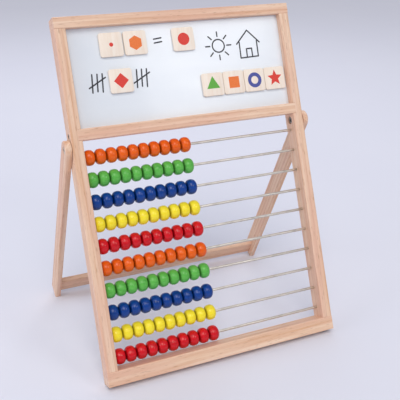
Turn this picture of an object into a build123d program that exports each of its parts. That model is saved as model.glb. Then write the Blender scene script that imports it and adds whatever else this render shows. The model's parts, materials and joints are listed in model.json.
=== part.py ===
from build123d import *
import os
from math import atan2, cos, degrees, radians, sin

# Counting easel for a child: a beech frame that leans back on a folding stand.  The lower
# window carries ten steel rods of ten painted beads, and the upper window holds a
# steel-faced writing board with magnetic picture tiles on it.
#
# Every piece is drawn with the frame upright: X runs across the frame with 0 at its middle,
# Y runs from the frame's front face towards its back, and Z runs up the frame from the
# underside of its bottom rail.  The stand is drawn folded flat, then swung open, and the
# whole easel is leaned back onto its feet at the end.  All sizes are in millimetres.

# ---- Frame ----
inner_width = 250.0  # clear width between the two stiles
frame_depth = 20.0  # front face to back face of every frame member
stile_thickness = 12.0
bottom_rail_height = 15.5
middle_rail_height = 12.0
top_rail_height = 12.0
edge_round = 1.0  # eased edge of every frame member and leg
housing_depth = 4.0  # how far the middle rail is let into each stile

# ---- Rods and beads ----
row_count = 10
row_pitch = 23.5
lowest_rod_gap = 11.5  # top of the bottom rail to the lowest rod's centre
highest_rod_gap = 18.5  # highest rod's centre to the underside of the middle rail
rod_diameter = 3.0
rod_setback = 11.5  # frame's front face to the rods' centres
rod_hole_clearance = 0.4  # on the diameter
rod_hole_depth = 7.0
rod_end_play = 0.5  # at each end of a rod
beads_per_row = 10
bead_diameter = 17.0
bead_thickness = 12.0
bead_end_diameter = 11.4  # flat ring that touches the next bead
bead_shoulder = 3.4  # length of the rounded part at each end
bead_sides = 10
bore_sides = 6
bead_bore_clearance = 0.6  # on the diameter
bead_gap = 0.05  # between neighbouring beads pushed together
first_bead_gap = 0.3  # left stile to the first bead

# ---- Writing board ----
board_opening = 104.0  # height of the upper window
board_setback = 7.0  # frame's front face to the writing surface
face_sheet_thickness = 0.5  # white steel sheet in front, chalkboard sheet behind
board_core_thickness = 3.0
groove_depth = 3.0
groove_clearance = 0.05  # each side of the board
board_edge_play = 0.4  # board's edge to the bottom of the side and top grooves

# ---- Folding stand ----
leg_thickness = 6.5
leg_depth = 20.0
leg_length = 259.0  # pivot to the square foot
pivot_drop = 7.5  # underside of the middle rail to the pivot
pivot_setback = 10.0  # frame's front face to the pivot
open_angle = 49.0  # between the frame and the legs
spacer_thickness = 0.5  # washer between a leg and its stile
spacer_diameter = 14.0
spacer_clearance = 0.05  # each side of that washer
leg_edge_bevel = 0.8
stretcher_thickness = 7.0
stretcher_height = 18.0
stretcher_foot_gap = 4.0  # end of the leg to the stretcher
dowel_diameter = 4.0
dowel_length = 18.0
dowel_leg_depth = 4.0  # how far a dowel goes into the leg
dowel_spacing = 9.0
dowel_clearance = 0.1  # on the diameter

# ---- Fasteners ----
bolt_diameter = 4.0
bolt_hole_clearance = 0.15  # on the diameter
bolt_head_diameter = 8.0
bolt_head_height = 2.0
bolt_head_sink = 0.3  # head's face below the leg's
nut_width = 7.0  # across the flats
nut_thickness = 3.0
nut_pocket_diameter = 9.0
nut_pocket_depth = 4.0
screw_diameter = 3.0
screw_head_diameter = 6.4
screw_head_height = 1.8
screw_head_sink = 0.4  # head's face below the wood
screw_length = 24.0
screw_clearance = 0.1  # on the diameter

# ---- Magnetic tiles ----
tile_side = 25.5
tile_thickness = 3.0  # with its magnetic sheet
tile_corner_cut = 1.6
tile_board_clearance = 0.02
magnet_side = 22.0
magnet_thickness = 0.6

# ---- Flats that stand for small round surfaces ----
small_sides = 12  # rods, screws, dowels, washers and their holes

# ---- Worked out from the sizes above ----
outer_half = inner_width / 2 + stile_thickness
inner_half = inner_width / 2
rod_heights = [bottom_rail_height + lowest_rod_gap + row * row_pitch for row in range(row_count)]
middle_rail_base = rod_heights[-1] + highest_rod_gap
middle_rail_top = middle_rail_base + middle_rail_height
top_rail_base = middle_rail_top + board_opening
frame_height = top_rail_base + top_rail_height
frame_middle = frame_depth / 2
board_thickness = 2 * face_sheet_thickness + board_core_thickness
pivot_height = middle_rail_base - pivot_drop
leg_inner = outer_half + spacer_thickness + 2 * spacer_clearance
leg_outer = leg_inner + leg_thickness
screw_line = inner_half + stile_thickness / 2  # down the middle of a stile

# The bead rows from the top of the frame to the bottom.
row_colours = ["orange", "green", "blue", "yellow", "red"] * 2

# Tiles: name, centre from the left stile, centre above the middle rail.  The lower row stands
# beside the right stile, so its places are counted back from there.
lower_row_height = 31.4
upper_row_height = 84.3
tile_pitch = 26.1
right_gap = 2.4
last_tile_place = inner_width - right_gap - tile_side / 2
tile_places = {
    "tile_dot": (46.6, upper_row_height),
    "tile_hexagon": (73.6, upper_row_height),
    "tile_circle": (129.2, upper_row_height),
    "tile_diamond": (51.8, 45.6),
    "tile_triangle": (last_tile_place - 3 * tile_pitch, lower_row_height),
    "tile_square": (last_tile_place - 2 * tile_pitch, lower_row_height),
    "tile_ring": (last_tile_place - tile_pitch, lower_row_height),
    "tile_star": (last_tile_place, lower_row_height),
}


# ---- Shapes used by several pieces ----
def block(x_low, x_high, y_low, y_high, z_low, z_high):
    """A box between two opposite corners."""
    size = Box(x_high - x_low, y_high - y_low, z_high - z_low)
    return Pos((x_low + x_high) / 2, (y_low + y_high) / 2, (z_low + z_high) / 2) * size


def bar_along_x(x_low, x_high, y, z, diameter):
    """A round bar, or the tool for a round hole, that runs across the frame."""
    middle = Pos((x_low + x_high) / 2, y, z)
    return middle * Rot(0, 90, 0) * Cylinder(diameter / 2, x_high - x_low)


def small_round(diameter, hole=False):
    """Flat-sided outline inside a small circle, or for a hole outside it."""
    return RegularPolygon(diameter / 2, small_sides, major_radius=not hole)


def small_bar_along_x(x_low, x_high, y, z, diameter, hole=False):
    """A small bar, or the tool for its hole, that runs across the frame."""
    outline = Pos(y, z) * small_round(diameter, hole)
    return Pos(x_low, 0, 0) * extrude(Plane.YZ * outline, x_high - x_low)


def wood_screw(extra=0.0, hole=False):
    """Countersunk screw, grown by extra on its diameters, that points down -Z.

    The face of its flat head is at the origin.
    """
    shank = small_round(screw_diameter + extra, hole)
    head = small_round(screw_head_diameter + extra, hole)
    cone = loft([head, Pos(0, 0, -screw_head_height) * shank], ruled=True)
    return cone + extrude(shank, -screw_length - extra)


def screw_hole():
    """The tool that cuts a screw's hole, open above its sunk head."""
    mouth = small_round(screw_head_diameter + screw_clearance, hole=True)
    return wood_screw(screw_clearance, hole=True) + extrude(mouth, screw_head_sink)


def at_screw_places(shape, kind):
    """Copies of an upright screw at both ends of the top, middle or bottom rail."""
    places = []
    for side in (-1, 1):
        if kind == "middle":
            height = middle_rail_base + middle_rail_height / 2
            turn = Rot(0, side * 90, 0)
            places.append(Pos(side * (outer_half - screw_head_sink), frame_middle, height) * turn)
        elif kind == "top":
            places.append(Pos(side * screw_line, frame_middle, frame_height - screw_head_sink))
        else:
            places.append(Pos(side * screw_line, frame_middle, screw_head_sink) * Rot(180, 0, 0))
    return [place * shape for place in places]


# ---- Frame members ----
def board_groove(x_low, x_high, z_low, z_high):
    """The slot that the writing board's edge sits in."""
    front = board_setback - groove_clearance
    back = board_setback + board_thickness + groove_clearance
    return block(x_low, x_high, front, back, z_low, z_high)


def cross_rail(base, height, half_length):
    """A plain rail with its long edges eased."""
    rail = block(-half_length, half_length, 0, frame_depth, base, base + height)
    return fillet(rail.edges().filter_by(Axis.X), edge_round)


def make_bottom_rail():
    """Runs under both stiles and carries the easel's heel."""
    rail = cross_rail(0, bottom_rail_height, outer_half)
    for tool in at_screw_places(screw_hole(), "bottom"):
        rail -= tool
    return rail


def make_middle_rail():
    """Parts the beads from the board; its ends are let into the stiles."""
    half = inner_half + housing_depth
    rail = cross_rail(middle_rail_base, middle_rail_height, half)
    rail -= board_groove(-half, half, middle_rail_top - groove_depth, middle_rail_top)
    for tool in at_screw_places(screw_hole(), "middle"):
        rail -= tool
    return rail


def make_top_rail():
    """Caps both stiles and the board."""
    rail = cross_rail(top_rail_base, top_rail_height, outer_half)
    half = inner_half + groove_depth
    rail -= board_groove(-half, half, top_rail_base, top_rail_base + groove_depth)
    for tool in at_screw_places(screw_hole(), "top"):
        rail -= tool
    return rail


def make_right_stile():
    """Upright with rod holes, board groove, rail housing, pivot hole and nut pocket."""
    stile = block(inner_half, outer_half, 0, frame_depth, bottom_rail_height, top_rail_base)
    stile = fillet(stile.edges().filter_by(Axis.Z), edge_round)
    housing_end = inner_half + housing_depth
    stile -= block(inner_half, housing_end, 0, frame_depth, middle_rail_base, middle_rail_top)
    groove_foot = middle_rail_top - groove_depth
    stile -= board_groove(inner_half, inner_half + groove_depth, groove_foot, top_rail_base)
    rod_hole = rod_diameter + rod_hole_clearance
    for height in rod_heights:
        stile -= small_bar_along_x(
            inner_half, inner_half + rod_hole_depth, rod_setback, height, rod_hole, hole=True
        )
    bolt_hole = bolt_diameter + bolt_hole_clearance
    stile -= bar_along_x(inner_half, outer_half, pivot_setback, pivot_height, bolt_hole)
    pocket_end = inner_half + nut_pocket_depth
    stile -= bar_along_x(
        inner_half, pocket_end, pivot_setback, pivot_height, nut_pocket_diameter
    )
    for kind in ("top", "middle", "bottom"):
        stile -= at_screw_places(screw_hole(), kind)[1]
    return stile


# ---- Writing board ----
def board_layer(front, thickness):
    """One full-size layer of the board, from its front face's depth in the frame."""
    half = inner_half + groove_depth - board_edge_play
    foot = middle_rail_top - groove_depth
    head = top_rail_base + groove_depth - board_edge_play
    return block(-half, half, front, front + thickness, foot, head)


# ---- Rods and beads ----
def make_rod(height):
    """Plain steel rod held loosely in blind holes."""
    half = inner_half + rod_hole_depth - rod_end_play
    return small_bar_along_x(-half, half, rod_setback, height, rod_diameter)


def make_bead():
    """Barrel bead about the X axis, centred on the origin.

    Flats stand for its turned surface, so that a hundred beads stay light.
    """
    bore_radius = (rod_diameter + bead_bore_clearance) / 2
    outline = RegularPolygon(bead_diameter / 2, bead_sides)
    outline -= RegularPolygon(bore_radius, bore_sides, major_radius=False)
    bead = extrude(Plane.YZ * outline, bead_thickness / 2, both=True)
    inset = (bead_diameter - bead_end_diameter) / 2
    for end in (bead.faces().sort_by(Axis.X)[0], bead.faces().sort_by(Axis.X)[-1]):
        rim = end.outer_wire().edges()
        bead = chamfer(rim, inset, bead_shoulder, reference=end)
    return bead


def make_bead_row(height):
    """Ten separate beads on one rod, all pushed to the left."""
    bead = make_bead()
    first = -inner_half + first_bead_gap + bead_thickness / 2
    pitch = bead_thickness + bead_gap
    places = [Pos(first + n * pitch, rod_setback, height) for n in range(beads_per_row)]
    return Compound([place * bead for place in places])


# ---- Folding stand, drawn folded ----
def make_right_leg():
    """Flat leg with a round head about its pivot and a square foot."""
    foot = pivot_height - leg_length
    shaft_middle = (foot + pivot_height) / 2
    outline = Pos(pivot_setback, shaft_middle) * Rectangle(leg_depth, leg_length)
    outline = fillet(outline.vertices().group_by(Axis.Y)[0], edge_round)
    outline += Pos(pivot_setback, pivot_height) * Circle(leg_depth / 2)
    leg = Pos(leg_inner, 0, 0) * extrude(Plane.YZ * outline, leg_thickness)
    for side in (leg.faces().sort_by(Axis.X)[0], leg.faces().sort_by(Axis.X)[-1]):
        leg = chamfer(side.edges(), leg_edge_bevel)
    leg -= pivot_bolt_shape(bolt_hole_clearance)
    for height in dowel_heights():
        leg -= small_bar_along_x(
            leg_inner,
            leg_inner + dowel_leg_depth + dowel_clearance,
            pivot_setback,
            height,
            dowel_diameter + dowel_clearance,
            hole=True,
        )
    return leg


def stretcher_middle():
    """Height of the stretcher's middle while the stand is folded."""
    return pivot_height - leg_length + stretcher_foot_gap + stretcher_height / 2


def dowel_heights():
    """The two dowels at each end of the stretcher."""
    return [stretcher_middle() + side * dowel_spacing / 2 for side in (-1, 1)]


def make_stretcher():
    """Bar that ties the two feet together, drilled for its dowels."""
    low = stretcher_middle() - stretcher_height / 2
    front = pivot_setback - stretcher_thickness / 2
    back = pivot_setback + stretcher_thickness / 2
    bar = block(-leg_inner, leg_inner, front, back, low, low + stretcher_height)
    bar = fillet(bar.edges().filter_by(Axis.X), edge_round)
    bore = dowel_diameter + dowel_clearance
    reach = leg_inner - (dowel_length - dowel_leg_depth) - dowel_clearance
    for height in dowel_heights():
        for low_x, high_x in ((-leg_inner, -reach), (reach, leg_inner)):
            bar -= small_bar_along_x(low_x, high_x, pivot_setback, height, bore, hole=True)
    return bar


def make_dowels():
    """Four wooden pins, half hidden in the stretcher and half in the legs."""
    outer = leg_inner + dowel_leg_depth
    inner = outer - dowel_length
    pins = []
    for height in dowel_heights():
        for low_x, high_x in ((-outer, -inner), (inner, outer)):
            pins.append(small_bar_along_x(low_x, high_x, pivot_setback, height, dowel_diameter))
    return Compound(pins)


# ---- Pivot hardware ----
def pivot_bolt_shape(extra=0.0):
    """Countersunk bolt through the right leg and stile, grown by extra on its diameters.

    With extra it is the tool for the bolt's hole, open above the sunk head.
    """
    shank = (bolt_diameter + extra) / 2
    head = (bolt_head_diameter + extra) / 2
    tip = inner_half + edge_round
    face = leg_outer - bolt_head_sink
    bolt = bar_along_x(tip, face, pivot_setback, pivot_height, 2 * shank)
    cone_middle = Pos(face - bolt_head_height / 2, pivot_setback, pivot_height)
    bolt += cone_middle * Rot(0, 90, 0) * Cone(shank, head, bolt_head_height)
    if extra:
        bolt += bar_along_x(face, leg_outer, pivot_setback, pivot_height, 2 * head)
    return bolt


def make_pivot_nut():
    """Hexagon nut at the bottom of the right stile's pocket."""
    hexagon = RegularPolygon(nut_width / 2, 6, major_radius=False)
    hexagon -= small_round(bolt_diameter, hole=True)
    nut = extrude(Plane.YZ * hexagon, nut_thickness)
    seat = inner_half + nut_pocket_depth - nut_thickness
    return Pos(seat, pivot_setback, pivot_height) * nut


def make_spacer():
    """Thin washer that keeps the right leg off its stile."""
    ring = small_round(spacer_diameter)
    ring -= small_round(bolt_diameter + bolt_hole_clearance, hole=True)
    washer = extrude(Plane.YZ * ring, spacer_thickness)
    return Pos(outer_half + spacer_clearance, pivot_setback, pivot_height) * washer


# ---- Magnetic tiles ----
def tile_centre(name):
    """Where the middle of a tile's back lies on the writing board."""
    across, up = tile_places[name]
    return Pos(-inner_half + across, board_setback - tile_board_clearance, middle_rail_top + up)


def make_tile(name):
    """Thin square wooden plaque with its corners taken off."""
    outline = Rectangle(tile_side, tile_side)
    outline = chamfer(outline.vertices(), tile_corner_cut)
    plaque = extrude(Plane.XZ * outline, tile_thickness - magnet_thickness)
    return tile_centre(name) * Pos(0, -magnet_thickness, 0) * plaque


def make_tile_magnet(name):
    """Flexible magnetic sheet glued to the tile's back."""
    sheet = extrude(Plane.XZ * Rectangle(magnet_side, magnet_side), magnet_thickness)
    return tile_centre(name) * sheet


# ---- Standing the easel up ----
def foot_point():
    """Centre of the leg's eased front foot edge with the stand open, as depth and height."""
    along = leg_length - edge_round
    forward = leg_depth / 2 - edge_round
    angle = radians(open_angle)
    depth = pivot_setback + along * sin(angle) - forward * cos(angle)
    height = pivot_height - along * cos(angle) - forward * sin(angle)
    return depth, height


def lean_angle():
    """How far the frame leans back when its heel and both feet touch the floor."""
    depth, height = foot_point()
    return degrees(atan2(height - edge_round, depth - (frame_depth - edge_round)))


def both_sides(shape):
    """A right-hand piece and its mirror image, as two separate solids of one node."""
    return Compound([shape, mirror(shape, about=Plane.YZ)])


right_stile = make_right_stile()
right_leg = make_right_leg()
fixed = {
    "right_stile": right_stile,
    "left_stile": mirror(right_stile, about=Plane.YZ),
    "bottom_rail": make_bottom_rail(),
    "middle_rail": make_middle_rail(),
    "top_rail": make_top_rail(),
    "whiteboard_sheet": board_layer(board_setback, face_sheet_thickness),
    "board_core": board_layer(board_setback + face_sheet_thickness, board_core_thickness),
    "chalkboard_sheet": board_layer(
        board_setback + face_sheet_thickness + board_core_thickness, face_sheet_thickness
    ),
    "pivot_bolts": both_sides(pivot_bolt_shape()),
    "pivot_nuts": both_sides(make_pivot_nut()),
    "pivot_spacers": both_sides(make_spacer()),
    "middle_rail_screws": Compound(at_screw_places(wood_screw(), "middle")),
    "top_rail_screws": Compound(at_screw_places(wood_screw(), "top")),
    "bottom_rail_screws": Compound(at_screw_places(wood_screw(), "bottom")),
}
for number, (colour, height) in enumerate(zip(row_colours, reversed(rod_heights)), start=1):
    fixed[f"rod_{number:02d}"] = make_rod(height)
    fixed[f"beads_{number:02d}_{colour}"] = make_bead_row(height)
for name in tile_places:
    fixed[name] = make_tile(name)
    fixed[f"{name}_magnet"] = make_tile_magnet(name)

stand = {
    "stand_right_leg": right_leg,
    "stand_left_leg": mirror(right_leg, about=Plane.YZ),
    "stand_stretcher": make_stretcher(),
    "stretcher_dowels": make_dowels(),
}

pivot_axis = Axis((0, pivot_setback, pivot_height), (1, 0, 0))
lean = lean_angle()
upright = fixed | {name: shape.rotate(pivot_axis, open_angle) for name, shape in stand.items()}
leaned = {name: shape.rotate(Axis.X, -lean) for name, shape in upright.items()}

# The origin is on the floor under the middle of the easel's footprint.
reach = Compound(list(leaned.values())).bounding_box()
to_origin = Pos(0, -(reach.min.Y + reach.max.Y) / 2, -reach.min.Z)

os.makedirs("parts", exist_ok=True)
for name, shape in leaned.items():
    export_step(to_origin * shape, f"parts/{name}.step")

pivot = to_origin * Rot(-lean, 0, 0) * Pos(0, pivot_setback, pivot_height)
free_travel = inner_width - 2 * first_bead_gap - beads_per_row * (bead_thickness + bead_gap)
print(f"lean {lean:.3f} degrees, frame {frame_height:.1f} tall along its slope")
print(f"pivot at {tuple(round(value, 3) for value in pivot.position)}")
print(f"free travel of a bead row {free_travel:.2f}")
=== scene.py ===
"""Looks of a child's counting easel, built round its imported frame.

The frame leans back on a folding stand. Ten steel rods carry painted beads in its lower window,
and its upper window holds a white writing board with magnetic picture tiles on it.
"""

import json
import logging
import math
from dataclasses import dataclass
from enum import Enum
from random import Random
from typing import ClassVar

import bmesh
import bpy
from mathutils import Euler, Matrix, Vector


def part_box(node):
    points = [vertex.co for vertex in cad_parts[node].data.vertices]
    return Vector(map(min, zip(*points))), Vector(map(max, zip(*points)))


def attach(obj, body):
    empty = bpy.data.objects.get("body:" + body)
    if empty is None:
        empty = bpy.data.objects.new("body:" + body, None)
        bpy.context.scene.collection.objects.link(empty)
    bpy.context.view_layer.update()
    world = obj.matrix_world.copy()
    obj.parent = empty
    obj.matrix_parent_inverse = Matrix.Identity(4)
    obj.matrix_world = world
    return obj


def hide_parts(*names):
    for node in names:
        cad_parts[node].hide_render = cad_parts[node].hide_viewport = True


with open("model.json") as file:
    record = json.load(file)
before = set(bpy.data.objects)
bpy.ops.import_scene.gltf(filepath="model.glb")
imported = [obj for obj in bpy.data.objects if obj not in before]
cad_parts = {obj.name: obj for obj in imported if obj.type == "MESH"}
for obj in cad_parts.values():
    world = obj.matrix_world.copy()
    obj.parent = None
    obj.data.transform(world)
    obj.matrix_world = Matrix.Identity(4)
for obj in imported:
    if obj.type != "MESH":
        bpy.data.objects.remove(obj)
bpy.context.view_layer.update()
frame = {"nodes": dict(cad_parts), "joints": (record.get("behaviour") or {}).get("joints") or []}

Shape = bmesh.types.BMesh
Tree = bpy.types.NodeTree
Triple = tuple[float, float, float]
Line = list[tuple[float, float]]  # a pen line or a profile, as places in millimetres

LOG = logging.getLogger("counting_easel")
MM = 0.001
FULL_TURN = 2 * math.pi
SLIDE_NORMAL = next(j["axis"] for j in frame["joints"] if j["name"] == "tile_dot_lift")
LEAN = math.asin(SLIDE_NORMAL[2])  # how far the frame leans back from upright
LEANING = Matrix.Rotation(-LEAN, 4, "X")
SIDES = ((-1, "left", Matrix.Rotation(math.pi, 4, "Y")), (1, "right", Matrix.Identity(4)))
STAND_ANGLE = math.radians(49.0)  # between the frame and the open legs
SHARP_ANGLE = math.radians(32.0)  # faces that meet at more than this keep a crisp edge
WAVE_UNITS = FULL_TURN / 20  # a wave texture of scale 1 repeats once in this many units

# The counting frame's own sizes, in millimetres.
INNER_HALF = 125.0  # from its middle to the inner face of a stile
STILE_THICKNESS = 12.0
FRAME_DEPTH = 20.0
FRAME_HEIGHT = 385.0
BOTTOM_RAIL_HEIGHT = 15.5
MIDDLE_RAIL_TOP = 269.0
MIDDLE_RAIL_HEIGHT = 12.0
BOARD_SETBACK = 7.0  # from its front face to the writing surface


# ---- colours and shader nodes
def linear(code: str) -> tuple[float, float, float, float]:
    """Turns an sRGB hex colour into the linear values that shaders use.

    Args:
        code: The colour as "#RRGGBB".

    Returns:
        Linear red, green and blue, and an alpha of 1.
    """
    parts = [int(code[place : place + 2], 16) / 255 for place in (1, 3, 5)]
    return (*[p / 12.92 if p <= 0.04045 else ((p + 0.055) / 1.055) ** 2.4 for p in parts], 1.0)


def per_metre(size_mm: float) -> float:
    """Scale of a noise pattern whose features are size_mm across."""
    return 1000 / size_mm


def add_node(
    tree: Tree, kind: str, settings: dict | None = None, links: dict | None = None
) -> bpy.types.Node:
    """Adds one shader node with its settings and links.

    Args:
        tree: The material's node tree.
        kind: The node's type, without its ShaderNode prefix.
        settings: Values by property name, or by socket name or number. "stops" are the places
            and colours of a colour ramp.
        links: Nodes or output sockets, by the socket name or number that they feed.

    Returns:
        The new node.
    """
    node = tree.nodes.new("ShaderNode" + kind)
    for name, value in (settings or {}).items():
        if name == "stops":
            ramp = node.color_ramp.elements
            while len(ramp) < len(value):
                ramp.new(0.5)
            for stop, (place, colour) in zip(ramp, value):
                stop.position = place
                stop.color = colour
        elif isinstance(name, str) and hasattr(node, name):
            setattr(node, name, value)
        else:
            node.inputs[name].default_value = value
    for name, source in (links or {}).items():
        output = source.outputs[0] if isinstance(source, bpy.types.Node) else source
        tree.links.new(output, node.inputs[name])
    return node


@dataclass(frozen=True)
class Layer:
    """A tone laid over a colour, more of it where a pattern is strong."""

    pattern: bpy.types.Node
    tone: str
    stops: tuple[tuple[float, float], ...]  # strength of the pattern, and share of the tone there
    blend: str = "MIX"


def layered(tree: Tree, base: str, *layers: Layer) -> bpy.types.NodeSocket:
    """Lays tones over a base colour, one after another.

    Args:
        tree: The material's node tree.
        base: The colour underneath.
        layers: The tones, from the lowest up.

    Returns:
        The socket that gives the finished colour.
    """
    settings, links = {6: linear(base)}, {}
    for layer in layers:
        stops = [(place, (share, share, share, 1.0)) for place, share in layer.stops]
        share = add_node(tree, "ValToRGB", {"stops": stops}, {"Fac": layer.pattern})
        settings |= {"data_type": "RGBA", "blend_type": layer.blend, 7: linear(layer.tone)}
        colour = add_node(tree, "Mix", settings, {0: share} | links).outputs[2]
        settings, links = {}, {6: colour}
    return colour


# ---- finishes
@dataclass(frozen=True)
class Finish:
    """A surface finish, which becomes one node material."""

    name: str

    def material(self) -> bpy.types.Material:
        """Gives the finish's material, made the first time that it is asked for.

        Returns:
            The material.
        """
        found = bpy.data.materials.get(self.name)
        if found is None:
            found = bpy.data.materials.new(self.name)
            found.use_nodes = True
            found.node_tree.nodes.clear()
            surface = self.paint(found.node_tree)
            add_node(found.node_tree, "OutputMaterial", None, {"Surface": surface})
        return found

    def paint(self, tree: Tree) -> bpy.types.Node:
        """Adds the finish's nodes.

        Args:
            tree: The material's empty node tree.

        Returns:
            The shader node for the surface.
        """
        raise NotImplementedError(self.name)


@dataclass(frozen=True)
class SandedBeech(Finish):
    """Steamed beech, planed and sanded, under a thin clear lacquer.

    The eye sees a pinkish tan with broad pale and honey streaks, faint growth rings that turn to
    arcs on end grain, and short brown flecks along the grain.
    """

    grain: Triple  # turns local Z along the fibres
    heart: Triple  # a point on the tree's axis, in metres
    ring_mm: float = 5.5
    streak_mm: float = 5.0
    blush_mm: float = 16.0
    fleck_mm: float = 0.9  # drawn about three times as coarse as real rays, so that they show
    fibre_mm: float = 0.35  # drawn coarser than real fibres, so that they show
    ring_stretch: float = 9.0  # how many times longer than wide each pattern is
    streak_stretch: float = 28.0
    fleck_stretch: float = 11.0
    pale: str = "#F7DCC4"
    honey: str = "#DDAB84"
    rose: str = "#E4B49C"
    late_wood: str = "#CFA07C"
    fleck: str = "#A87856"

    def paint(self, tree: Tree) -> bpy.types.Node:
        """Adds rings, streaks, flecks and a fine fibre bump.

        Args:
            tree: The material's empty node tree.

        Returns:
            The shader node.
        """
        point = add_node(tree, "TexCoord").outputs["Object"]
        turn = {"vector_type": "TEXTURE", "Location": self.heart, "Rotation": self.grain}
        ring_space, streak_space, fleck_space = (
            add_node(tree, "Mapping", turn | {"Scale": (1, 1, stretch)}, {"Vector": point})
            for stretch in (self.ring_stretch, self.streak_stretch, self.fleck_stretch)
        )
        rings = add_node(
            tree,
            "TexWave",
            {
                "wave_type": "RINGS",
                "rings_direction": "Z",
                "wave_profile": "SAW",
                "Scale": WAVE_UNITS / (self.ring_mm * MM),
                "Distortion": 5.0,
                "Detail": 3.0,
                "Detail Scale": 0.6,
                "Detail Roughness": 0.55,
            },
            {"Vector": ring_space},
        )
        streaks, blush, flecks, fibres = (
            add_node(
                tree,
                "TexNoise",
                {"Scale": per_metre(size), "Detail": detail, "Roughness": rough},
                {"Vector": space},
            )
            for size, detail, rough, space in (
                (self.streak_mm, 4.0, 0.6, streak_space),
                (self.blush_mm, 2.0, 0.5, fleck_space),
                (self.fleck_mm, 2.0, 0.5, fleck_space),
                (self.fibre_mm, 2.0, 0.7, streak_space),
            )
        )
        colour = layered(
            tree,
            self.pale,
            Layer(streaks, self.honey, ((0.32, 0.0), (0.74, 1.0))),
            Layer(blush, self.rose, ((0.42, 0.0), (0.68, 0.75))),
            Layer(rings, self.late_wood, ((0.0, 0.0), (0.60, 0.08), (0.97, 0.28)), "MULTIPLY"),
            Layer(flecks, self.fleck, ((0.60, 0.0), (0.72, 0.5))),
        )
        sheen = add_node(tree, "MapRange", {"To Min": 0.42, "To Max": 0.60}, {"Value": streaks})
        bump = add_node(tree, "Bump", {"Strength": 0.28, "Distance": 0.05 * MM}, {"Height": fibres})
        return add_node(
            tree,
            "BsdfPrincipled",
            {"IOR": 1.5, "Coat Weight": 0.12, "Coat Roughness": 0.35},
            {"Base Color": colour, "Roughness": sheen, "Normal": bump},
        )


@dataclass(frozen=True)
class BeadPaint(Finish):
    """Satin enamel sprayed on turned birch beads.

    The eye sees a strong colour, deeper in places, with the wood's fibres and the lathe's fine
    rings just showing through the gloss, and painted shade darkening each end where beads meet.
    """

    colour: str
    shade: str
    first_end: float  # left end of a row's first bead, in metres
    pitch: float  # from bead to bead, in metres
    groove_shade: str = "#7C7C7C"  # painted shade of the grooves between beads, multiplied into the colour there
    fibre_mm: float = 1.7
    fibre_stretch: float = 5.0
    patch_mm: float = 14.0
    lathe_mm: float = 0.7  # drawn coarser than real turning marks, so that they show

    def paint(self, tree: Tree) -> bpy.types.Node:
        """Adds mottled paint, with painted shade at each bead's ends, over a fibre and lathe-ring
        bump.

        Args:
            tree: The material's empty node tree.

        Returns:
            The shader node.
        """
        point = add_node(tree, "TexCoord").outputs["Object"]
        along = add_node(
            tree,
            "Mapping",
            {"vector_type": "TEXTURE", "Scale": (self.fibre_stretch, 1, 1)},
            {"Vector": point},
        )
        mottle = add_node(
            tree,
            "TexNoise",
            {"Scale": per_metre(self.fibre_mm), "Detail": 3.0, "Roughness": 0.6},
            {"Vector": along},
        )
        patches = add_node(
            tree, "TexNoise", {"Scale": per_metre(self.patch_mm), "Detail": 1.0}, {"Vector": point}
        )
        lathe = add_node(
            tree,
            "TexWave",
            {
                "bands_direction": "X",
                "Scale": WAVE_UNITS / (self.lathe_mm * MM),
                "Distortion": 0.6,
                "Detail": 1.0,
            },
            {"Vector": point},
        )
        across = add_node(tree, "SeparateXYZ", None, {"Vector": point}).outputs["X"]
        bead_count = add_node(
            tree,
            "Math",
            {"operation": "MULTIPLY_ADD", 1: 1 / self.pitch, 2: -self.first_end / self.pitch},
            {0: across},
        )
        from_end = add_node(tree, "Math", {"operation": "PINGPONG", 1: 0.5}, {0: bead_count})
        colour = layered(
            tree,
            self.colour,
            Layer(mottle, self.shade, ((0.46, 0.0), (0.72, 0.8))),
            Layer(patches, self.shade, ((0.35, 0.0), (0.65, 0.22))),
            # painted shade: darker towards each bead's ends, where the grooves between beads fall
            # in shade
            Layer(from_end, self.groove_shade, ((0.0, 0.9), (0.05, 0.5), (0.15, 0.0)), "MULTIPLY"),
        )
        rough = add_node(tree, "MapRange", {"To Min": 0.24, "To Max": 0.42}, {"Value": mottle})
        relief = add_node(
            tree,
            "Math",
            {"operation": "MULTIPLY_ADD", 1: 0.25},
            {0: lathe.outputs["Fac"], 2: mottle},
        )
        bump = add_node(tree, "Bump", {"Strength": 0.35, "Distance": 0.09 * MM}, {"Height": relief})
        return add_node(
            tree,
            "BsdfPrincipled",
            {"Specular IOR Level": 0.3, "Coat Weight": 0.2, "Coat Roughness": 0.1},
            {"Base Color": colour, "Roughness": rough, "Normal": bump},
        )


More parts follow.
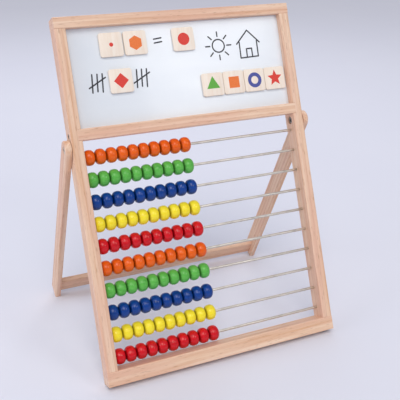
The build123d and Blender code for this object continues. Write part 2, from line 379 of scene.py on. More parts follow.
@dataclass(frozen=True)
class Metal(Finish):
    """Drawn or plated steel, with fine lines along X and a light patchy tarnish."""

    bright: str
    dull: str
    rough_low: float
    rough_high: float
    line_mm: float = 0.4  # drawn coarser than real drawing lines, so that they show
    line_stretch: float = 400.0  # so long that no end of a line shows
    tarnish_mm: float = 9.0

    def paint(self, tree: Tree) -> bpy.types.Node:
        """Adds drawing lines and tarnish.

        Args:
            tree: The material's empty node tree.

        Returns:
            The shader node.
        """
        point = add_node(tree, "TexCoord").outputs["Object"]
        along = add_node(
            tree,
            "Mapping",
            {"vector_type": "TEXTURE", "Scale": (self.line_stretch, 1, 1)},
            {"Vector": point},
        )
        lines = add_node(
            tree,
            "TexNoise",
            {"Scale": per_metre(self.line_mm), "Detail": 2.0, "Roughness": 0.6},
            {"Vector": along},
        )
        tarnish = add_node(
            tree,
            "TexNoise",
            {"Scale": per_metre(self.tarnish_mm), "Detail": 3.0, "Roughness": 0.55},
            {"Vector": point},
        )
        colour = layered(tree, self.bright, Layer(tarnish, self.dull, ((0.42, 0.0), (0.75, 0.6))))
        rough = add_node(
            tree,
            "MapRange",
            {"To Min": self.rough_low, "To Max": self.rough_high},
            {"Value": lines},
        )
        bump = add_node(tree, "Bump", {"Strength": 0.05, "Distance": 0.01 * MM}, {"Height": lines})
        return add_node(
            tree,
            "BsdfPrincipled",
            {"Metallic": 1.0},
            {"Base Color": colour, "Roughness": rough, "Normal": bump},
        )


@dataclass(frozen=True)
class Coating(Finish):
    """A flat coat on sheet, board or moulding, with faint clouds in its colour and gloss."""

    colour: str
    cloud: str
    cloud_mm: float
    rough_low: float
    rough_high: float
    cloud_share: float = 0.5
    grain_mm: float = 0.6
    relief_mm: float = 0.02
    stretch: Triple = (1.0, 1.0, 1.0)
    coat: float = 0.0

    def paint(self, tree: Tree) -> bpy.types.Node:
        """Adds the coat's clouds, gloss changes and fine grain.

        Args:
            tree: The material's empty node tree.

        Returns:
            The shader node.
        """
        point = add_node(tree, "TexCoord").outputs["Object"]
        space = add_node(
            tree,
            "Mapping",
            {"vector_type": "TEXTURE", "Rotation": (-LEAN, 0, 0), "Scale": self.stretch},
            {"Vector": point},
        )
        clouds = add_node(
            tree,
            "TexNoise",
            {
                "Scale": per_metre(self.cloud_mm),
                "Detail": 4.0,
                "Roughness": 0.55,
                "Distortion": 0.4,
            },
            {"Vector": space},
        )
        grit = add_node(
            tree,
            "TexNoise",
            {"Scale": per_metre(self.grain_mm), "Detail": 2.0, "Roughness": 0.6},
            {"Vector": space},
        )
        dabs = Layer(clouds, self.cloud, ((0.40, 0.0), (0.70, self.cloud_share)))
        colour = layered(tree, self.colour, dabs)
        rough = add_node(
            tree,
            "MapRange",
            {"To Min": self.rough_low, "To Max": self.rough_high},
            {"Value": clouds},
        )
        bump = add_node(
            tree,
            "Bump",
            {"Strength": 0.3, "Distance": self.relief_mm * MM},
            {"Height": grit},
        )
        return add_node(
            tree,
            "BsdfPrincipled",
            {"IOR": 1.5, "Coat Weight": self.coat, "Coat Roughness": 0.08},
            {"Base Color": colour, "Roughness": rough, "Normal": bump},
        )


# Cold-drawn rod: bright, faintly warm, with long straight drawing lines.
ROD_STEEL = Metal(
    "drawn_bright_steel_rod", bright="#D9D3C9", dull="#B0A99E", rough_low=0.28, rough_high=0.34
)
# Zinc plate gone dull: dark grey, with a soft patchy shine.
PLATED_SCREW = Metal(
    "zinc_plated_screw_steel", bright="#8E8A84", dull="#5E5A55", rough_low=0.3, rough_high=0.5
)
# Nickel plate: paler and warmer than the screws.
NICKEL_BOLT = Metal(
    "nickel_plated_bolt_steel", bright="#CBC3B7", dull="#A0978B", rough_low=0.25, rough_high=0.42
)
# Enamel baked on sheet steel: cool white, glossy, with faint wiped clouds of old marker.
WHITE_ENAMEL = Coating(
    "white_writing_enamel", colour="#E4EAF0", cloud="#DAE1EA", cloud_mm=45.0,
    rough_low=0.16, rough_high=0.32, coat=0.25, stretch=(2.5, 1.0, 1.0),
)
# Matt blackboard paint: near black with a green cast, and pale smears of wiped chalk.
CHALKBOARD_PAINT = Coating(
    "matt_chalkboard_paint", colour="#27302D", cloud="#5D6663", cloud_mm=38.0, cloud_share=0.55,
    grain_mm=0.8, relief_mm=0.05, rough_low=0.75, rough_high=0.95, stretch=(2.2, 1.0, 1.0),
)
# Pressed fibreboard: warm brown, felted.
FIBREBOARD = Coating(
    "pressed_fibreboard", colour="#9B7448", cloud="#7F5C36", cloud_mm=2.5,
    grain_mm=0.5, relief_mm=0.08, rough_low=0.7, rough_high=0.9,
)
# Moulded nylon: milky and slightly waxy.
NYLON = Coating(
    "moulded_nylon_washer", colour="#E6E2D6", cloud="#D8D2C2", cloud_mm=5.0,
    rough_low=0.35, rough_high=0.5,
)
# Bonded magnetic rubber: near black, matt, with a fine calendered grain.
MAGNET_RUBBER = Coating(
    "calendered_magnetic_rubber", colour="#2B2827", cloud="#3A3533", cloud_mm=6.0,
    grain_mm=0.5, relief_mm=0.03, rough_low=0.6, rough_high=0.8, stretch=(6.0, 1.0, 1.0),
)
# Basswood plywood, sanded and sealed: cream, with long faint straw-coloured streaks.
TILE_BASSWOOD = Coating(
    "sealed_basswood_plywood", colour="#FAEEDF", cloud="#F0DBC4", cloud_mm=3.5, cloud_share=0.6,
    grain_mm=0.4, relief_mm=0.03, rough_low=0.42, rough_high=0.58, stretch=(1.0, 1.0, 12.0),
)
# Dry-wipe marker ink: near black, and grey in the patches where it is thin.
MARKER_INK = Coating(
    "dry_wipe_marker_ink", colour="#2C2D33", cloud="#4A4C55", cloud_mm=3.0,
    rough_low=0.5, rough_high=0.7,
)


class BeadColour(Enum):
    """Paints of the bead rows: the colour and its deeper shade."""

    ORANGE = ("#F2680A", "#DA4A06")
    GREEN = ("#64BE50", "#42A03A")
    BLUE = ("#004096", "#002862")
    YELLOW = ("#FFEE36", "#F2D016")
    RED = ("#DC0A1C", "#A80612")

    def finish(self, first_end: float, pitch: float) -> BeadPaint:
        """The bead paint of this colour.

        Args:
            first_end: Left end of a row's first bead, in metres.
            pitch: From bead to bead, in metres.

        Returns:
            The finish.
        """
        return BeadPaint(f"satin_{self.name.lower()}_bead_enamel", *self.value, first_end, pitch)


class Ink(Enum):
    """Silk-screen inks of the tiles: the colour and where it printed thicker."""

    RED = ("#E23B2E", "#C92A20")
    ORANGE = ("#F07C34", "#E06A22")
    GREEN = ("#62B23F", "#4C9A2E")
    BLUE = ("#4A55A0", "#39438A")

    def finish(self) -> Coating:
        """The printed ink of this colour."""
        return Coating(
            f"screen_printed_{self.name.lower()}_ink", colour=self.value[0], cloud=self.value[1],
            cloud_mm=1.5, grain_mm=0.3, rough_low=0.4, rough_high=0.6,
        )


# ---- placing and making pieces
@dataclass(frozen=True)
class Slope:
    """The frame's own directions: X across it, Y towards its back and Z up its slope."""

    heel: Vector  # middle of the bottom rail's lower front edge, in metres

    @classmethod
    def of_frame(cls) -> "Slope":
        """Finds the slope from the bottom rail.

        Returns:
            The slope.
        """
        to_middle = Vector((0, FRAME_DEPTH / 2, BOTTOM_RAIL_HEIGHT / 2)) * MM
        return cls(centre_of("bottom_rail") - LEANING @ to_middle)

    def at(self, across: float, back: float, up: float) -> Matrix:
        """Where a piece made about its own origin goes.

        Args:
            across: Millimetres to the right of the frame's middle.
            back: Millimetres behind its front face.
            up: Millimetres up its slope from the underside of the bottom rail.

        Returns:
            The matrix that puts the piece there, leaning with the frame.
        """
        spot = LEANING @ Vector((across, back, up)) * MM
        return Matrix.Translation(self.heel + spot) @ LEANING


@dataclass(frozen=True)
class Role:
    """What a new piece is in the frame."""

    body: str
    slot: str
    replaces: tuple[str, ...] = ()


def centre_of(node: str) -> Vector:
    """Middle of a CAD node's box, in metres."""
    low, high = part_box(node)
    return (low + high) / 2


def in_scene(name: str, data: bpy.types.ID) -> bpy.types.Object:
    """Puts a mesh, light or camera in the scene as an object of that name."""
    thing = bpy.data.objects.new(name, data)
    bpy.context.scene.collection.objects.link(thing)
    return thing


def make_piece(shape: Shape, name: str, place: Matrix, finish: Finish, role: Role) -> None:
    """Turns a finished shape into a named piece that rides on its body.

    Args:
        shape: The shape, in metres about its own origin. It is freed.
        name: The piece's name.
        place: Where the shape goes.
        finish: Its surface.
        role: Its body, slot and the CAD nodes that it stands for.
    """
    bmesh.ops.transform(shape, matrix=place, verts=shape.verts)
    bmesh.ops.recalc_face_normals(shape, faces=shape.faces)
    mesh = bpy.data.meshes.new(name)
    shape.to_mesh(mesh)
    shape.free()
    mesh.shade_smooth()
    mesh.set_sharp_from_angle(angle=SHARP_ANGLE)
    mesh.materials.append(finish.material())
    piece = in_scene(name, mesh)
    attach(piece, role.body)
    if role.replaces:
        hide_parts(*role.replaces)
    LOG.info("%s: %d faces, rides on %s", name, len(mesh.polygons), role.body)


def spun(profile: Line, steps: int, closed: bool = True) -> Shape:
    """Turns a profile about the X axis.

    Args:
        profile: Points as millimetres along X and millimetres from the axis.
        steps: Sides of the turned shape.
        closed: Whether the profile is a ring, as for a piece with a bore.

    Returns:
        The turned shape, in metres.
    """
    shape = bmesh.new()
    points = [shape.verts.new((x * MM, 0, r * MM)) for x, r in profile]
    edges = [shape.edges.new(pair) for pair in zip(points, points[1:])]
    if closed:
        edges.append(shape.edges.new((points[-1], points[0])))
    bmesh.ops.spin(
        shape, geom=points + edges, cent=(0, 0, 0), axis=(1, 0, 0), angle=FULL_TURN,
        steps=steps, use_merge=True,
    )
    bmesh.ops.remove_doubles(shape, verts=shape.verts, dist=0.001 * MM)
    return shape


def points_of(geometry: list) -> list[bmesh.types.BMVert]:
    """The points among what a mesh operator made."""
    return [item for item in geometry if isinstance(item, bmesh.types.BMVert)]


def raise_ink(shape: Shape, faces: list[bmesh.types.BMFace], thickness: float) -> None:
    """Makes flat faces into a skin of ink towards -Y, its back where they were.

    Args:
        shape: The shape that the faces are in.
        faces: The faces.
        thickness: How thick the ink is, in millimetres.
    """
    skin = bmesh.ops.extrude_face_region(shape, geom=faces)["geom"]
    bmesh.ops.translate(shape, verts=points_of(skin), vec=(0, -thickness * MM, 0))


# ---- beads and rods
@dataclass
class BeadRow:
    """Ten turned beads on one steel rod."""

    number: int
    colour: BeadColour
    count: int = 10
    thickness: float = 12.0
    diameter: float = 17.0
    end_ring: float = 3.8  # radius where a bead meets its neighbour
    bore: float = 1.8
    bore_ease: float = 0.5  # rounding at the mouth of the bore
    fullness: float = 2.5  # 2 is an ellipse, more is a squarer barrel
    rod_radius: float = 1.5
    rod_ease: float = 0.3
    sides: int = 28
    profile_steps: int = 10

    def bead(self) -> Shape:
        """Makes one bead about the X axis.

        Returns:
            The bead's shape.
        """
        half = self.thickness / 2
        belly = self.diameter / 2
        root = 1 / self.fullness
        swell = (1 - (self.end_ring / belly) ** self.fullness) ** root
        profile = []
        for step in range(self.profile_steps + 1):
            turn = math.pi * (step / self.profile_steps - 0.5)
            x = half / swell * math.copysign(abs(math.sin(turn)) ** (2 * root), turn)
            x = max(-half, min(half, x))
            outwards = min(1, abs(x) * swell / half)
            profile.append((x, belly * (1 - outwards**self.fullness) ** root))
        for side in (1, -1):
            face = (side * half, self.bore + self.bore_ease)
            inside = (side * (half - self.bore_ease), self.bore)
            profile += [face, inside][::side]
        return spun(profile, self.sides)

    def build(self) -> None:
        """Makes the row's beads as one piece, each turned by chance on the rod, and the rod."""
        name = f"{self.number:02d}_{self.colour.name.lower()}"
        node = f"beads_{name}"
        low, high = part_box(node)
        pitch = (high.x - low.x - self.thickness * MM) / (self.count - 1)
        chance = Random(self.number)
        row = self.bead()
        first = row.verts[:] + row.edges[:] + row.faces[:]
        for place in range(1, self.count):
            points = points_of(bmesh.ops.duplicate(row, geom=first)["geom"])
            roll = Matrix.Rotation(chance.uniform(0, FULL_TURN), 3, "X")
            bmesh.ops.rotate(row, verts=points, cent=(0, 0, 0), matrix=roll)
            bmesh.ops.translate(row, verts=points, vec=(place * pitch, 0, 0))
        start = centre_of(node)
        start.x = low.x + self.thickness / 2 * MM
        paint = self.colour.finish(low.x, pitch)
        role = Role(f"row_{name}", f"bead_{self.colour.name.lower()}", (node,))
        make_piece(row, f"bead_row_{name}", Matrix.Translation(start), paint, role)
        self.build_rod()

    def build_rod(self) -> None:
        """Makes the row's rod, with its ends eased where it enters the stiles."""
        node = f"rod_{self.number:02d}"
        low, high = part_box(node)
        half = (high.x - low.x) / 2 / MM
        profile = [
            (-half, 0),
            (-half, self.rod_radius - self.rod_ease),
            (-half + self.rod_ease, self.rod_radius),
            (half - self.rod_ease, self.rod_radius),
            (half, self.rod_radius - self.rod_ease),
            (half, 0),
        ]
        rod = spun(profile, self.sides, closed=False)
        place = Matrix.Translation(centre_of(node))
        role = Role("frame", "rod_steel", (node,))
        make_piece(rod, f"steel_rod_{self.number:02d}", place, ROD_STEEL, role)


# ---- wooden frame and stand
@dataclass
class WoodenFrame:
    """The beech members that the CAD gives, each cut from its own board."""

    up_frame: ClassVar[Triple] = (-LEAN, 0.0, 0.0)
    up_leg: ClassVar[Triple] = (STAND_ANGLE - LEAN, 0.0, 0.0)
    across: ClassVar[Triple] = (0.0, math.pi / 2, 0.0)
    grain_of: ClassVar[dict[str, Triple]] = {
        "left_stile": up_frame,
        "right_stile": up_frame,
        "bottom_rail": across,
        "middle_rail": across,
        "top_rail": across,
        "stand_left_leg": up_leg,
        "stand_right_leg": up_leg,
        "stand_stretcher": across,
        "stretcher_dowels": across,
    }
    heart_distance: float = 75.0  # millimetres from a member to its tree's heart
    first_seed: int = 100

    def dress(self) -> None:
        """Gives each member beech whose grain runs along it."""
        for seed, (node, turn) in enumerate(self.grain_of.items(), start=self.first_seed):
            chance = Random(seed)
            direction = chance.uniform(0, FULL_TURN)
            away = Vector((math.cos(direction), math.sin(direction), chance.uniform(-1, 1)))
            away.rotate(Euler(turn))
            heart = centre_of(node) + away * self.heart_distance * MM
            dress_node(node, SandedBeech(f"sanded_beech_{node}", turn, tuple(heart)))


def dress_node(node: str, finish: Finish) -> None:
    """Gives a CAD node that stays in view its finish.

    Args:
        node: The node's name.
        finish: Its surface.
    """
    mesh = frame["nodes"][node].data
    mesh.materials.clear()
    mesh.materials.append(finish.material())
    LOG.info("%s keeps its CAD shape, finished as %s", node, finish.name)


# ---- writing board and tiles
class Symbol(Enum):
    """Pictures on the tiles, with the ink of each and its radius in millimetres."""

    DOT = ("dot", Ink.RED, 2.2)
    HEXAGON = ("hexagon", Ink.ORANGE, 7.8)
    CIRCLE = ("circle", Ink.RED, 6.8)
    DIAMOND = ("diamond", Ink.RED, 8.2)
    TRIANGLE = ("triangle", Ink.GREEN, 9.2)
    SQUARE = ("square", Ink.ORANGE, 9.0)
    RING = ("ring", Ink.BLUE, 8.6)
    STAR = ("star", Ink.RED, 9.6)


@dataclass
class PictureTile:
    """Thin wooden tile with a printed shape and a magnet sheet behind it."""

    symbol: Symbol
    side: float = 25.5
    corner: float = 2.5
    corner_steps: int = 6
    wood: float = 2.4
    face_round: float = 0.45
    face_steps: int = 3
    ink: float = 0.06
    ring_bore: float = 0.52  # the ring's hole as a share of its radius
    star_waist: float = 0.45
    round_sides: int = 36
    outline_corners: ClassVar[dict[str, int]] = {
        "hexagon": 6, "diamond": 4, "triangle": 3, "square": 4, "star": 10,
    }

    def plaque(self) -> Shape:
        """Makes the wooden tile about its middle, its face towards -Y.

        Returns:
            The tile's shape.
        """
        shape = bmesh.new()
        size = Matrix.Diagonal((self.side * MM, self.wood * MM, self.side * MM, 1))
        bmesh.ops.create_cube(shape, size=1, matrix=size)
        through = [edge for edge in shape.edges if edge.verts[0].co.y * edge.verts[1].co.y < 0]
        bmesh.ops.bevel(
            shape, geom=through, offset=self.corner * MM, offset_type="OFFSET",
            segments=self.corner_steps, profile=0.5, affect="EDGES", material=-1,
        )
        rim = [edge for edge in shape.edges if all(point.co.y < 0 for point in edge.verts)]
        bmesh.ops.bevel(
            shape, geom=rim, offset=self.face_round * MM, offset_type="OFFSET",
            segments=self.face_steps, profile=0.5, affect="EDGES", material=-1,
        )
        return shape

    def print_shape(self) -> Shape:
        """Makes the printed shape as a skin of ink, its back on Y = 0.

        Returns:
            The ink's shape.
        """
        kind, _, radius = self.symbol.value
        shape = bmesh.new()
        bmesh.ops.create_circle(
            shape, cap_ends=True, segments=self.outline_corners.get(kind, self.round_sides),
            radius=radius * MM, matrix=Matrix.Rotation(math.pi / 2, 4, "X"),
        )
        if kind == "star":
            around = sorted(shape.verts, key=lambda v: math.atan2(v.co.x, v.co.z))
            for waist in around[1::2]:
                waist.co *= self.star_waist
        if kind == "square":
            quarter = Matrix.Rotation(math.pi / 4, 3, "Y")
            bmesh.ops.rotate(shape, verts=shape.verts, cent=(0, 0, 0), matrix=quarter)
        if kind == "ring":
            width = radius * (1 - self.ring_bore) * MM
            bmesh.ops.inset_region(
                shape, faces=shape.faces[:], thickness=width, use_even_offset=True,
                use_boundary=True,
            )
            middle = min(shape.faces, key=lambda f: f.calc_center_median().length)
            bmesh.ops.delete(shape, geom=[middle], context="FACES")
        raise_ink(shape, shape.faces[:], self.ink)
        return shape

    def build(self) -> None:
        """Makes the tile's wood and ink, and finishes its magnet sheet."""
        kind, ink, _ = self.symbol.value
        node = f"tile_{kind}"
        middle = Matrix.Translation(centre_of(node)) @ LEANING
        face = middle @ Matrix.Translation((0, -self.wood / 2 * MM, 0))
        wood = Role(node, "tile_wood", (node,))
        print_on_it = Role(node, "tile_wood")
        make_piece(self.plaque(), f"plaque_{kind}", middle, TILE_BASSWOOD, wood)
        make_piece(self.print_shape(), f"printed_{kind}", face, ink.finish(), print_on_it)
        dress_node(f"{node}_magnet", MAGNET_RUBBER)


@dataclass
class WritingBoard:
    """Steel-faced board, white in front and chalkboard behind, with marker drawings on it.

    Places on the board are millimetres from the left stile and from the middle rail.
    """

    pen_width: float = 1.6
    ink: float = 0.05
    ink_step: float = 0.004  # so that strokes which cross do not flicker
    ink_layers: int = 3
    pen_sides: int = 14
    tally_spacing: float = 5.6
    tally_height: float = 19.0
    tally_slant: float = 1.6
    tally_unevenness: float = 0.9
    strike_overhang: tuple[float, float] = (3.0, 4.5)  # past the first stroke and the last
    strike_inset: tuple[float, float] = (5.0, 4.0)  # above their feet and below their tops
    ray_count: int = 8
    ray_ends: tuple[float, float] = (10.6, 15.6)  # from the sun's middle
    sun_steps: int = 20
    sun_half_width: float = 7.4
    sun_half_height: float = 7.2

    def dress(self) -> None:
        """Finishes the board's three layers."""
        dress_node("whiteboard_sheet", WHITE_ENAMEL)
        dress_node("board_core", FIBREBOARD)
        dress_node("chalkboard_sheet", CHALKBOARD_PAINT)

    def pen_line(self, shape: Shape, points: Line) -> None:
        """Draws one pen line as thin round-ended strokes, its back on Y = 0.

        Args:
            shape: The drawing that the line is added to.
            points: The places that the line runs through.
        """
        for number, (start, end) in enumerate(zip(points, points[1:])):
            run = Vector((end[0] - start[0], 0, end[1] - start[1])) * MM
            half_step = Matrix.Rotation(math.pi / self.pen_sides, 4, "Y")
            flat = half_step @ Matrix.Rotation(math.pi / 2, 4, "X")
            stroke = bmesh.ops.create_circle(
                shape, cap_ends=True, segments=self.pen_sides, radius=self.pen_width / 2 * MM,
                matrix=flat,
            )["verts"]
            far_end = [point for point in stroke if point.co.x > 0]
            bmesh.ops.translate(shape, verts=far_end, vec=(run.length, 0, 0))
            slant = Matrix.Rotation(math.atan2(-run.z, run.x), 3, "Y")
            bmesh.ops.rotate(shape, verts=stroke, cent=(0, 0, 0), matrix=slant)
            bmesh.ops.translate(shape, verts=stroke, vec=(start[0] * MM, 0, start[1] * MM))
            thickness = self.ink + self.ink_step * (number % self.ink_layers)
            raise_ink(shape, [stroke[0].link_faces[0]], thickness)

    def tally(self, start: float, foot: float, count: int) -> list[Line]:
        """Upright counting strokes, the last one struck across the others.

        Args:
            start: Place of the first stroke.
            foot: Height of the strokes' lower ends.
            count: How many strokes.

        Returns:
            The pen lines.
        """
        top = foot + self.tally_height
        places = [start + self.tally_spacing * number for number in range(count - 1)]
        strokes = [
            [(place, foot + self.tally_unevenness * (number % 2)), (place + self.tally_slant, top)]
            for number, place in enumerate(places)
        ]
        low_end = (places[0] - self.strike_overhang[0], foot + self.strike_inset[0])
        high_end = (places[-1] + self.strike_overhang[1], top - self.strike_inset[1])
        return [*strokes, [low_end, high_end]]

    def sun(self, across: float, up: float) -> list[Line]:
        """A child's sun: a circle with rays.

        Args:
            across: Place of its middle.
            up: Height of its middle.

        Returns:
            The pen lines.
        """
        turns = [FULL_TURN * step / self.ray_count for step in range(self.ray_count)]
        rays = [
            [(across + reach * math.cos(a), up + reach * math.sin(a)) for reach in self.ray_ends]
            for a in turns
        ]
        rim = [FULL_TURN * step / self.sun_steps for step in range(self.sun_steps + 1)]
        disc = [
            (across + self.sun_half_width * math.cos(a), up + self.sun_half_height * math.sin(a))
            for a in rim
        ]
        return [disc, *rays]

    def house(self, across: float, up: float) -> list[Line]:
        """A child's house: walls, roof and door.

        Args:
            across: Place of its middle.
            up: Height of its ground line.

        Returns:
            The pen lines.
        """
        walls = [(-11, 18), (-11.4, 0), (11, 0.7), (11.2, 18.6)]
        roof = [(-14.5, 16), (0.5, 31), (14.5, 16.6)]
        door = [(-3.2, 0.4), (-3.0, 10), (3.6, 10.2), (3.6, 0.6)]
        return [[(across + x, up + z) for x, z in line] for line in (walls, roof, door)]

    def draw(self, slope: Slope) -> None:
        """Puts the marker drawings on the white face.

        Args:
            slope: The frame's directions.
        """
        drawings = {
            "twin_strokes": [[(95.5, 87.0), (104.2, 88.0)], [(95.8, 82.8), (104.4, 83.8)]],
            "left_tally": self.tally(start=20.0, foot=36.0, count=4),
            "right_tally": self.tally(start=69.5, foot=37.0, count=4),
            "sun": self.sun(across=171.0, up=74.0),
            "house": self.house(across=208.5, up=58.0),
        }
        for name, lines in drawings.items():
            shape = bmesh.new()
            for line in lines:
                self.pen_line(shape, line)
            place = slope.at(-INNER_HALF, BOARD_SETBACK, MIDDLE_RAIL_TOP)
            make_piece(shape, f"marker_{name}", place, MARKER_INK, Role("frame", "whiteboard"))


# ---- fasteners
@dataclass
class WoodScrew:
    """Countersunk screw with a cross recess, its shank ringed by the thread."""

    head_radius: float = 3.2
    head_height: float = 1.8
    shank_radius: float = 1.5
    length: float = 24.0
    head_ease: float = 0.15
    thread_pitch: float = 1.2
    thread_depth: float = 0.35
    plain_length: float = 4.0
    point_length: float = 3.0
    arm_length: float = 1.8
    arm_half_width: float = 0.36
    recess_depth: float = 1.0
    recess_taper: float = 0.7
    sides: int = 32

    def shape(self) -> Shape:
        """Makes the screw along -X, its head's face at X = 0.

        Returns:
            The screw's shape.
        """
        profile = [(0, self.head_radius - self.head_ease), (-self.head_ease, self.head_radius)]
        profile += [(-self.head_height, self.shank_radius)]
        x = -self.head_height - self.plain_length
        while x > -self.length + self.point_length:
            profile += [(x, self.shank_radius - self.thread_depth)]
            profile += [(x - self.thread_pitch / 2, self.shank_radius)]
            x -= self.thread_pitch
        profile += [(-self.length, 0)]
        screw = spun(profile, self.sides, closed=False)
        self.sink_cross(screw)
        return screw

    def sink_cross(self, screw: Shape) -> None:
        """Closes the head's face round a cross recess.

        Args:
            screw: The screw's shape, open at its head.
        """
        rim = [edge for edge in screw.edges if edge.is_boundary]
        width, reach = self.arm_half_width, self.arm_length
        quarter = [(width, reach), (width, width), (reach, width)]
        corners = []
        for turn in range(4):
            spin = Matrix.Rotation(-turn * math.pi / 2, 2)
            corners += [screw.verts.new((0, *(spin @ Vector(corner) * MM))) for corner in quarter]
        cross = [screw.edges.new(pair) for pair in zip(corners, corners[1:] + corners[:1])]
        bmesh.ops.triangle_fill(screw, edges=rim + cross, use_beauty=True, use_dissolve=False)
        walls = bmesh.ops.extrude_edge_only(screw, edges=cross)["geom"]
        for point in points_of(walls):
            point.co.yz = point.co.yz * self.recess_taper
            point.co.x = -self.recess_depth * MM
        open_edges = [edge for edge in screw.edges if edge.is_boundary]
        bmesh.ops.contextual_create(screw, geom=open_edges)

    def place(self, name: str, node: str, place: Matrix) -> None:
        """Puts one screw in its hole.

        Args:
            name: The piece's name.
            node: The CAD node of its pair.
            place: Where the middle of its head's face goes, with X out of the hole.
        """
        make_piece(self.shape(), name, place, PLATED_SCREW, Role("frame", "screw_steel", (node,)))


@dataclass
class RailScrews:
    """The six screws that hold the rails to the stiles."""

    sink: float = 0.4  # from the wood's face down to the screw's

    def build(self, slope: Slope) -> None:
        """Makes the screws.

        Args:
            slope: The frame's directions.
        """
        screw = WoodScrew()
        stile_middle = INNER_HALF + STILE_THICKNESS / 2
        side_reach = INNER_HALF + STILE_THICKNESS - self.sink
        rail_middle = MIDDLE_RAIL_TOP - MIDDLE_RAIL_HEIGHT / 2
        up = Matrix.Rotation(-math.pi / 2, 4, "Y")
        down = Matrix.Rotation(math.pi / 2, 4, "Y")
        for side, hand, outwards in SIDES:
            spots = {
                "middle": (side * side_reach, rail_middle, outwards),
                "top": (side * stile_middle, FRAME_HEIGHT - self.sink, up),
                "bottom": (side * stile_middle, self.sink, down),
            }
            for rail, (across, height, facing) in spots.items():
                place = slope.at(across, FRAME_DEPTH / 2, height) @ facing
                screw.place(f"{rail}_rail_screw_{hand}", f"{rail}_rail_screws", place)


@dataclass
class PivotHardware:
    """Bolt, nut and washer on each side of the stand's joint."""

    bolt_radius: float = 2.0
    tip_ease: float = 0.4
    tip_gap: float = 1.0  # from the bolt's tip to the nut's open face
    head_radius: float = 3.9
    head_height: float = 2.0
    head_ease: float = 0.2  # on the radius
    head_edge: float = 0.15  # how thick its rim is
    socket_radius: float = 1.4
    socket_draft: float = 0.1
    socket_depth: float = 1.3
    nut_flats: float = 7.0
    nut_thickness: float = 3.0
    nut_ease: float = 0.3
    nut_face_share: float = 0.93  # of the radius at its corners
    nut_sides: int = 6
    washer_radius: float = 7.0
    washer_bore: float = 2.1
    washer_thickness: float = 0.5
    sides: int = 40

    def bolt(self, length: float) -> Shape:
        """Makes a countersunk bolt along -X, the face of its head at X = 0.

        Args:
            length: Face to tip, in millimetres.

        Returns:
            The bolt's shape.
        """
        profile = [
            (-self.socket_depth, 0),
            (-self.socket_depth, self.socket_radius),
            (0, self.socket_radius + self.socket_draft),
            (0, self.head_radius - self.head_ease),
            (-self.head_edge, self.head_radius),
            (-self.head_height, self.bolt_radius),
            (-length + self.tip_ease, self.bolt_radius),
            (-length, self.bolt_radius - self.tip_ease),
            (-length, 0),
        ]
        return spun(profile, self.sides, closed=False)

    def nut(self) -> Shape:
        """Makes a hexagon nut about the X axis, from X = 0 outwards.

        Returns:
            The nut's shape.
        """
        corner = self.nut_flats / math.sqrt(3)
        face = corner * self.nut_face_share
        profile = [
            (0, self.bolt_radius),
            (0, face),
            (self.nut_ease, corner),
            (self.nut_thickness - self.nut_ease, corner),
            (self.nut_thickness, face),
            (self.nut_thickness, self.bolt_radius),
        ]
        return spun(profile, self.nut_sides)

    def washer(self) -> Shape:
        """Makes a washer about the X axis, from X = 0 outwards.

        Returns:
            The washer's shape.
        """
        edge = self.washer_thickness / 3
        profile = [
            (0, self.washer_bore),
            (0, self.washer_radius - edge),
            (edge, self.washer_radius),
            (2 * edge, self.washer_radius),
            (self.washer_thickness, self.washer_radius - edge),
            (self.washer_thickness, self.washer_bore),
        ]
        return spun(profile, self.sides)

    def build(self) -> None:
        """Makes both sides' bolt, nut and washer from the CAD nodes' places."""
        bolts, nuts, washers = (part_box(f"pivot_{kind}") for kind in ("bolts", "nuts", "spacers"))
        pivot = centre_of("pivot_bolts")
        nut_start = nuts[1].x - self.nut_thickness * MM
        washer_start = washers[1].x - self.washer_thickness * MM
        length = (bolts[1].x - nut_start) / MM - self.tip_gap
        for side, hand, outwards in SIDES:
            kit = {
                "bolt": (self.bolt(length), bolts[1].x, NICKEL_BOLT, "bolt_steel", "pivot_bolts"),
                "nut": (self.nut(), nut_start, PLATED_SCREW, "bolt_steel", "pivot_nuts"),
                "washer": (self.washer(), washer_start, NYLON, "spacer_nylon", "pivot_spacers"),
            }
            for kind, (shape, reach, finish, slot, node) in kit.items():
                place = Matrix.Translation((side * reach, pivot.y, pivot.z)) @ outwards
                role = Role("frame", slot, (node,))
                make_piece(shape, f"pivot_{kind}_{hand}", place, finish, role)


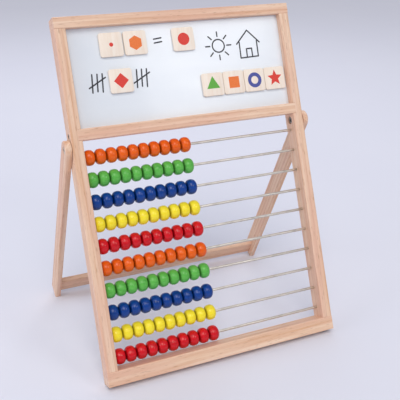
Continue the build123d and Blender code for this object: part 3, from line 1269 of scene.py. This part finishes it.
# ---- room, light and camera
@dataclass
class Studio:
    """Pale floor, soft lights and the camera. Its sizes are in metres."""

    floor_size: float = 14.0
    floor_colour: str = "#E1E3EE"
    floor_cloud: str = "#DCDEEB"
    sky_colour: str = "#E6E9FA"
    sky_strength: float = 0.40
    camera_spot: Triple = (-0.29608, -0.69811, 0.47928)
    camera_turn: Triple = (67.999, -0.149, -23.737)  # degrees
    lens: float = 63.77  # millimetres, as the sensor's width is
    sensor_width: float = 36.0
    shift: tuple[float, float] = (0.0069, -0.0457)
    aim: Triple = (0.0, 0.0, 0.18)  # where the soft boxes point

    def lay_floor(self) -> None:
        """Lays a wide matt paper floor."""
        shape = bmesh.new()
        bmesh.ops.create_grid(shape, x_segments=1, y_segments=1, size=self.floor_size / 2)
        mesh = bpy.data.meshes.new("paper_floor")
        shape.to_mesh(mesh)
        shape.free()
        paper = Coating(
            "matt_backdrop_paper", colour=self.floor_colour, cloud=self.floor_cloud,
            cloud_mm=400.0, cloud_share=0.35, grain_mm=1.0, rough_low=0.8, rough_high=0.9,
        )
        mesh.materials.append(paper.material())
        in_scene("paper_floor", mesh)

    def hang(
        self, name: str, kind: str, power: float, colour: str, shine: Vector
    ) -> bpy.types.Object:
        """Adds a light that shines one way.

        Args:
            name: The light's name.
            kind: "AREA" or "SUN".
            power: Its power in watts, or in watts a square metre for a sun.
            colour: Its colour.
            shine: The direction that it shines in.

        Returns:
            The light.
        """
        lamp = bpy.data.lights.new(name, kind)
        lamp.energy = power
        lamp.color = linear(colour)[:3]
        holder = in_scene(name, lamp)
        holder.rotation_euler = shine.to_track_quat("-Z", "Y").to_euler()
        return holder

    def soft_box(self, name: str, spot: Triple, size: float, power: float, colour: str) -> None:
        """Adds one square soft box aimed at the easel.

        Args:
            name: The light's name.
            spot: Where it hangs, in metres.
            size: Its side, in metres.
            power: Its power, in watts.
            colour: Its colour.
        """
        shine = Vector(self.aim) - Vector(spot)
        box = self.hang(f"{name}_softbox", "AREA", power, colour, shine)
        box.data.size = size
        box.location = spot

    def sun(self, name: str, source: Triple, power: float, spread: float, colour: str) -> None:
        """Adds one far light, soft because it is wide, that lights the whole floor evenly.

        Args:
            name: The light's name.
            source: The direction that its light comes from.
            power: Its strength, in watts a square metre.
            spread: Its width, in degrees.
            colour: Its colour.
        """
        far_light = self.hang(f"{name}_sun", "SUN", power, colour, -Vector(source))
        far_light.data.angle = math.radians(spread)

    def build(self) -> None:
        """Sets up floor, sky, lights and camera."""
        scene = bpy.context.scene
        self.lay_floor()
        world = bpy.data.worlds.new("studio_air")
        world.use_nodes = True
        background = world.node_tree.nodes["Background"]
        background.inputs["Color"].default_value = linear(self.sky_colour)
        background.inputs["Strength"].default_value = self.sky_strength
        scene.world = world
        self.sun("key", source=(-0.40, -1.0, 1.6), power=1.38, spread=35.0, colour="#FFFAF2")
        self.soft_box("window", spot=(-1.5, -0.1, 0.6), size=1.1, power=7.5, colour="#F6F9FF")
        self.soft_box("right", spot=(0.65, -1.2, 1.1), size=0.45, power=3.5, colour="#FFFDF8")
        self.soft_box("back", spot=(0.3, 1.1, 1.6), size=1.5, power=9.5, colour="#F6F8FF")
        data = bpy.data.cameras.new("studio_camera")
        data.lens = self.lens
        data.sensor_width = self.sensor_width
        data.shift_x, data.shift_y = self.shift
        camera = in_scene("studio_camera", data)
        camera.location = self.camera_spot
        camera.rotation_euler = Euler([math.radians(angle) for angle in self.camera_turn])
        scene.camera = camera
        scene.view_settings.view_transform = "Standard"


# ---- the whole easel
def main() -> None:
    """Builds every sub-assembly in order."""
    logging.basicConfig(level=logging.INFO, format="%(name)s: %(message)s")
    slope = Slope.of_frame()
    Studio().build()
    WoodenFrame().dress()
    for number, colour in enumerate(list(BeadColour) * 2, start=1):
        BeadRow(number, colour).build()
    board = WritingBoard()
    board.dress()
    board.draw(slope)
    for symbol in Symbol:
        PictureTile(symbol).build()
    RailScrews().build(slope)
    PivotHardware().build()


if __name__ == "__main__":
    main()
